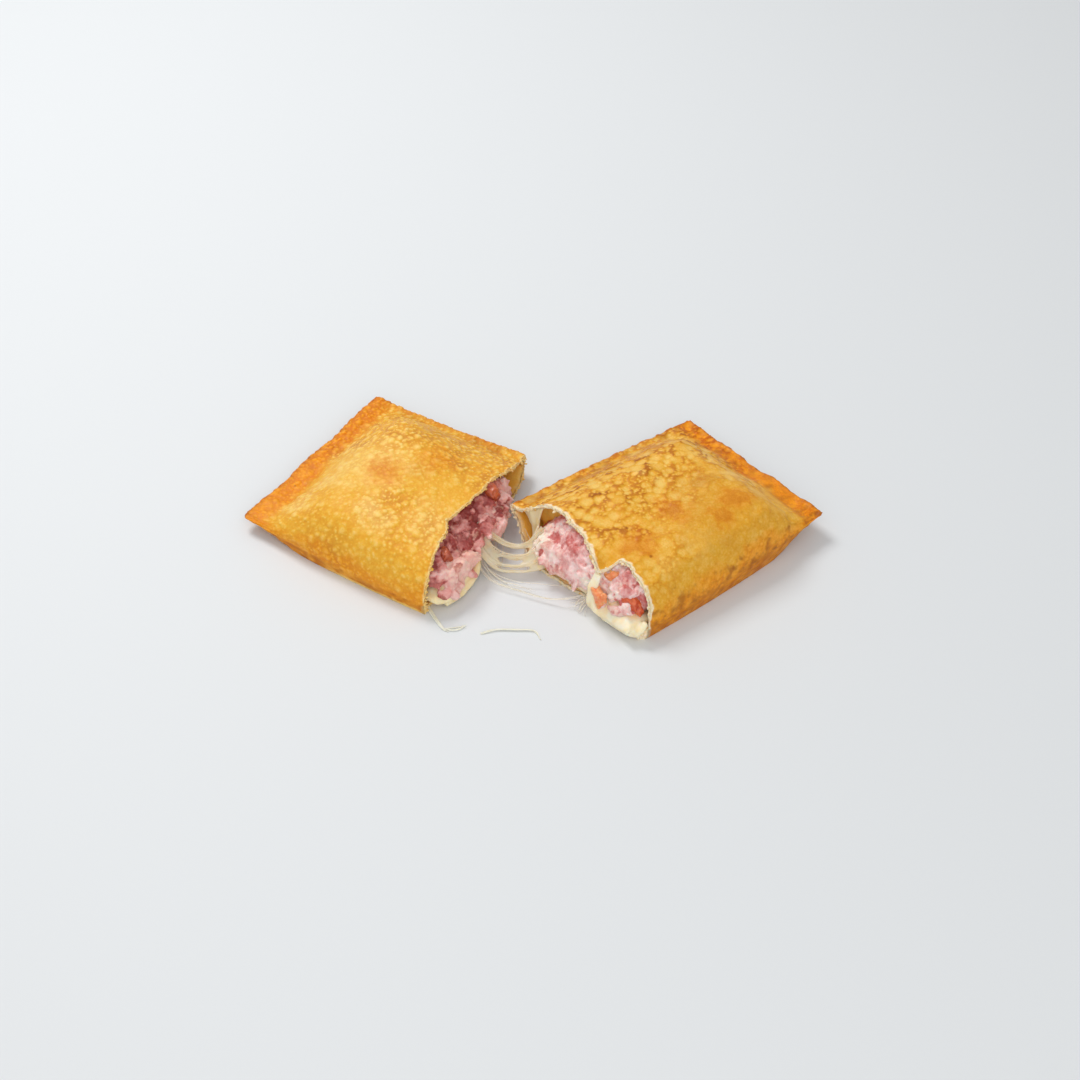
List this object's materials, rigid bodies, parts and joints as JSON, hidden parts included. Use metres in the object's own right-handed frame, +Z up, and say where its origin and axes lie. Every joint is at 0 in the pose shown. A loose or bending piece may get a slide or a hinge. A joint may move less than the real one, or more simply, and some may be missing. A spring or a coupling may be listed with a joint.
{
  "type": "fried pastel",
  "caption": "Fried rectangular turnover torn across its middle, with crisp blistered dough, shredded ham and melted cheese stretching between the halves.",
  "frame": {"origin": "centre of the bounding box at the underside, on the surface that the turnover lies on", "axes": "+Z up, +X along the pair from the left half to the right half, +Y towards the crimped back corners"},
  "size_m": [0.257, 0.1502, 0.0311],
  "materials": {
    "crust": "golden, crisp and blistered fried dough with a slight sheen of oil",
    "ham": "moist pink shredded ham",
    "cheese": "soft, slightly glossy melted cheese",
    "tomato": "wet cooked tomato"
  },
  "bodies": {
    "root": {"crust_left": "crust", "crust_right": "crust", "cheese_left": "cheese", "cheese_right": "cheese", "ham_left": "ham", "ham_right": "ham", "tomato_left_1": "tomato", "tomato_left_2": "tomato", "tomato_right_1": "tomato", "tomato_right_2": "tomato", "tomato_right_3": "tomato", "tomato_right_4": "tomato", "cheese_strands": "cheese"}
  },
  "joints": []
}
